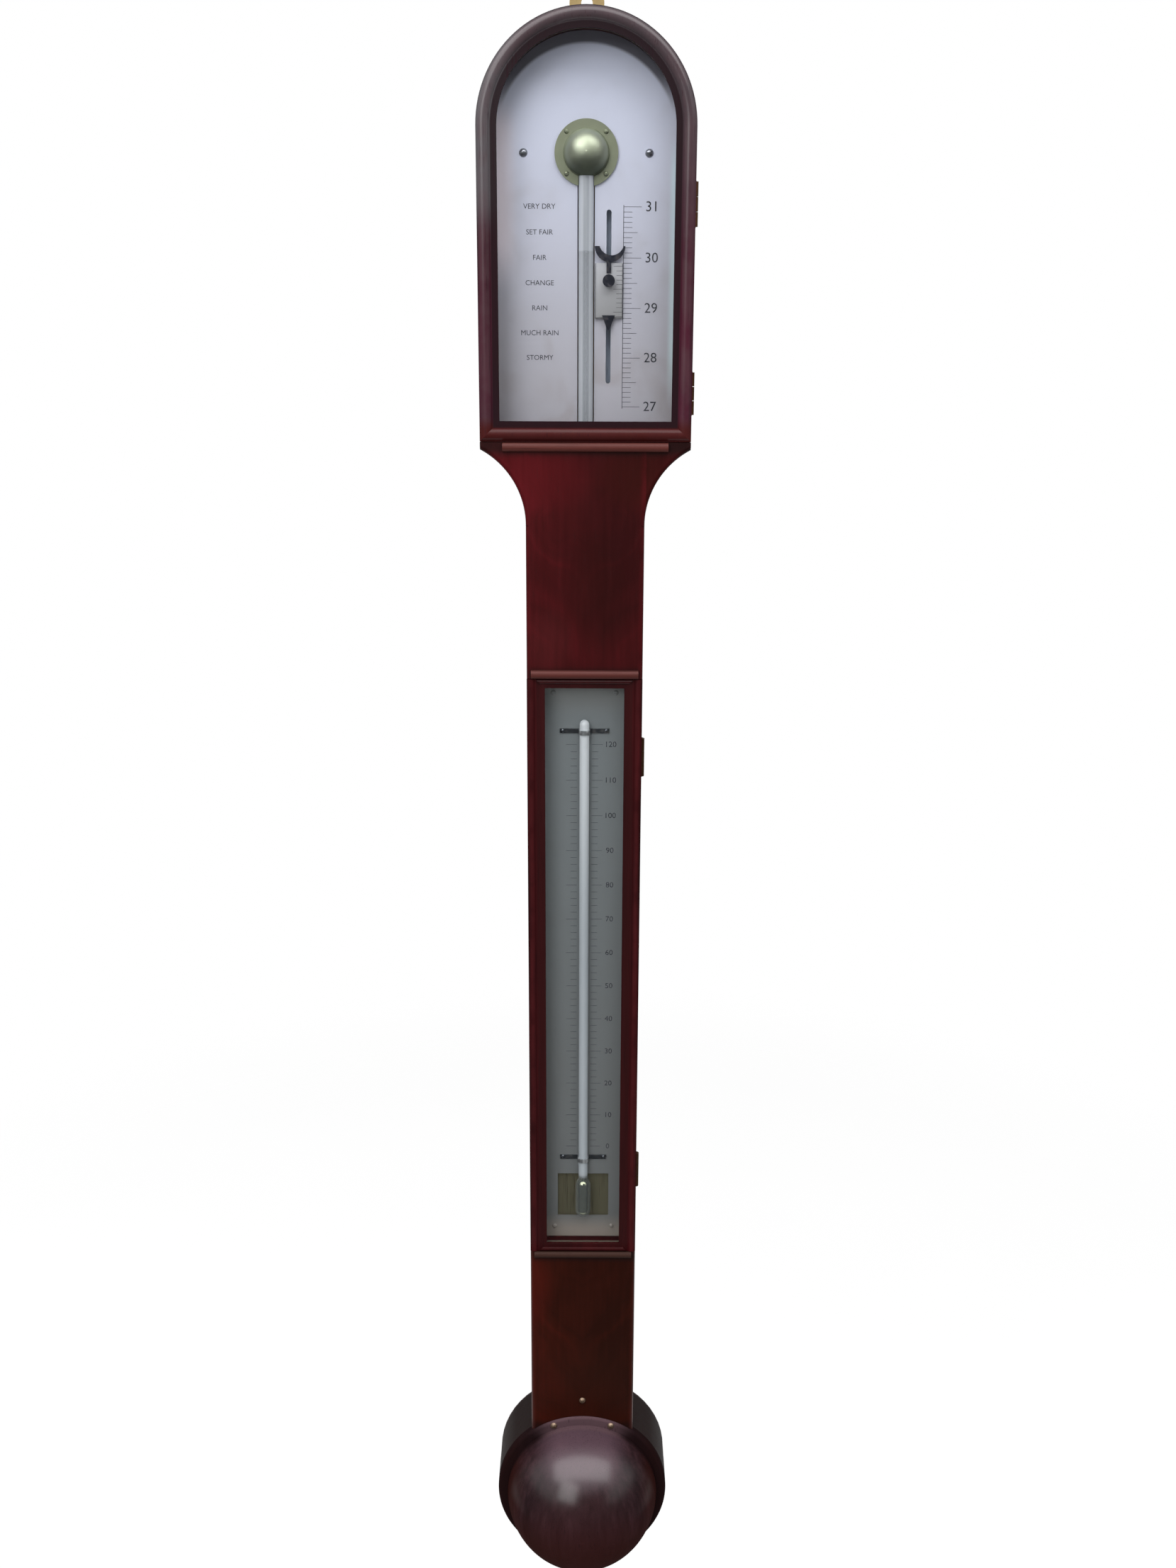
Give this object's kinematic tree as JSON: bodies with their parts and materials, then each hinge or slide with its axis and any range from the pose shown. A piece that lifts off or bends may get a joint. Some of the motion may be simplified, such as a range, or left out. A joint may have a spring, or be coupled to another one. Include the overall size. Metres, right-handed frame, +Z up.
{
  "type": "stick barometer",
  "caption": "Wall-hung stick barometer: arched glazed hood over a register with sliding vernier, thermometer door in a slim mahogany trunk, domed cistern cover and portable screw.",
  "frame": {"origin": "centre of the hanging eye on the wall plane", "axes": "+Z up along the trunk, +Y into the wall, +X to the viewer's right"},
  "size_m": [0.1139, 0.0885, 0.9655],
  "materials": {
    "mahogany": "French polished",
    "mahogany_veneer": "French polished",
    "mahogany_bead": "French polished",
    "turned_mahogany": "French polished",
    "pine": "bare",
    "brass": "aged lacquer",
    "polished_brass": "polished",
    "silvered_brass": "silvered",
    "grey_silvered_brass": "dulled silvering",
    "blued_steel": "blued",
    "glass": "clear",
    "mercury": "liquid metal",
    "boxwood": "waxed",
    "cork": "bare",
    "leather": "bare",
    "thread": "waxed",
    "putty": "matt"
  },
  "bodies": {
    "case": {"backboard": "mahogany", "head_rim": "mahogany", "neck_block": "mahogany", "thermometer_bed": "mahogany", "foot_block": "mahogany", "neck_panel": "mahogany_veneer", "foot_panel": "mahogany_veneer", "neck_bead": "mahogany_bead", "upper_cross_bead": "mahogany_bead", "lower_cross_bead": "mahogany_bead", "back_cover": "pine", "back_cover_screws": "brass", "hanging_plate": "brass", "hanging_plate_screws": "brass", "register_plate": "silvered_brass", "register_screws": "brass", "tube_boss": "polished_brass", "boss_screws": "brass", "barometer_tube": "glass", "mercury_column": "mercury", "tube_corks": "cork", "cistern_body": "boxwood", "cistern_lid": "boxwood", "cistern_leather": "leather", "leather_binding": "thread", "mercury_pool": "mercury", "screw_bush": "brass", "bush_screws": "brass", "cistern_cover": "turned_mahogany", "cistern_cover_screws": "brass", "trunk_stud": "brass", "thermometer_plate": "grey_silvered_brass", "thermometer_plate_screws": "brass", "thermometer_tube": "glass", "thermometer_thread": "mercury", "thermometer_straps": "brass", "strap_pins": "brass", "hinge_case_leaves": "brass", "hinge_pins": "brass", "hinge_case_screws": "brass"},
    "hood_door": {"hood_door_frame": "mahogany", "hood_glass": "glass", "hood_putty": "putty", "hood_hinge_door_leaves": "brass", "hood_hinge_door_screws": "brass"},
    "thermometer_door": {"thermometer_door_frame": "mahogany", "thermometer_glass": "glass", "thermometer_putty": "putty", "thermometer_hinge_door_leaves": "brass", "thermometer_hinge_door_screws": "brass"},
    "vernier": {"vernier_plate": "silvered_brass", "vernier_pointer": "blued_steel", "vernier_knob": "blued_steel", "vernier_guide": "brass", "vernier_spring": "brass"},
    "screw_pad": {"pressure_pad": "cork"},
    "portable_screw": {"portable_screw": "brass"}
  },
  "joints": [
    {"name": "hood_door_hinge", "type": "hinge", "parent": "case", "child": "hood_door", "pos_m": [0.056, -0.02815, -0.15], "axis": [0, 0, 1], "range_deg": [0, 110]},
    {"name": "thermometer_door_hinge", "type": "hinge", "parent": "case", "child": "thermometer_door", "pos_m": [0.032, -0.02815, -0.526], "axis": [0, 0, 1], "range_deg": [0, 110]},
    {"name": "vernier_slide", "type": "slide", "parent": "case", "child": "vernier", "axis": [0, 0, 1], "range_m": [-0.035, 0.024]},
    {"name": "screw_travel", "type": "slide", "parent": "case", "child": "screw_pad", "axis": [0, 0, 1], "range_m": [0, 0.009], "deforming": ["cistern_leather", "mercury_pool"]},
    {"name": "screw_turn", "type": "hinge", "parent": "screw_pad", "child": "portable_screw", "pos_m": [0, -0.0196, -0.93], "axis": [0, 0, 1], "range_deg": [0, 2160]}
  ],
  "couplings": [
    {"joint": "screw_turn", "follows": "screw_travel", "rad_per_m": 4188.8}
  ]
}
